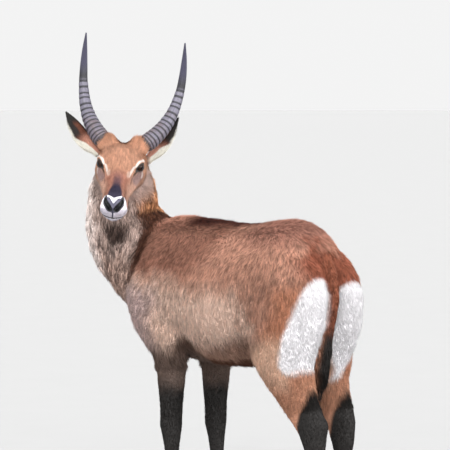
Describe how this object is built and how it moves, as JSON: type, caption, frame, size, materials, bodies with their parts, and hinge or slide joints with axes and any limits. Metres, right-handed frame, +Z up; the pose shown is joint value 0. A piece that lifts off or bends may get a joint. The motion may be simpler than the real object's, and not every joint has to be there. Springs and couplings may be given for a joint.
{
  "type": "defassa waterbuck",
  "caption": "Life-size defassa waterbuck bull, standing still and looking back over its left side, with ringed horns.",
  "frame": {"origin": "on the floor under the middle of the outline, midway between its lowest and highest x and y", "axes": "+Z up, the animal's body faces -Y, its left side is +X"},
  "size_m": [0.6571, 1.3339, 2.0469],
  "materials": {
    "coat": "coarse red-brown hair, grizzled grey on the neck and flanks, with white rump patches",
    "dark_coat": "short black-brown leg hair with a white ring above the hooves",
    "horn": "dark grey keratin, ridged, smooth at the tips",
    "hoof": "dull black keratin",
    "eye": "wet, very dark brown"
  },
  "bodies": {
    "root": {"claw_fore_left_inner": "hoof", "claw_fore_left_outer": "hoof", "claw_fore_right_inner": "hoof", "claw_fore_right_outer": "hoof", "claw_hind_left_inner": "hoof", "claw_hind_left_outer": "hoof", "claw_hind_right_inner": "hoof", "claw_hind_right_outer": "hoof", "dewclaw_fore_left_inner": "hoof", "dewclaw_fore_left_outer": "hoof", "dewclaw_fore_right_inner": "hoof", "dewclaw_fore_right_outer": "hoof", "dewclaw_hind_left_inner": "hoof", "dewclaw_hind_left_outer": "hoof", "dewclaw_hind_right_inner": "hoof", "dewclaw_hind_right_outer": "hoof", "ear_left": "coat", "ear_right": "coat", "eye_left": "eye", "eye_right": "eye", "forefoot_left": "dark_coat", "forefoot_right": "dark_coat", "foreleg_left": "dark_coat", "foreleg_right": "dark_coat", "head": "coat", "hindfoot_left": "dark_coat", "hindfoot_right": "dark_coat", "horn_left": "horn", "horn_right": "horn", "neck": "coat", "tail": "coat", "thigh_left": "coat", "thigh_right": "coat", "trunk": "coat"}
  },
  "joints": []
}
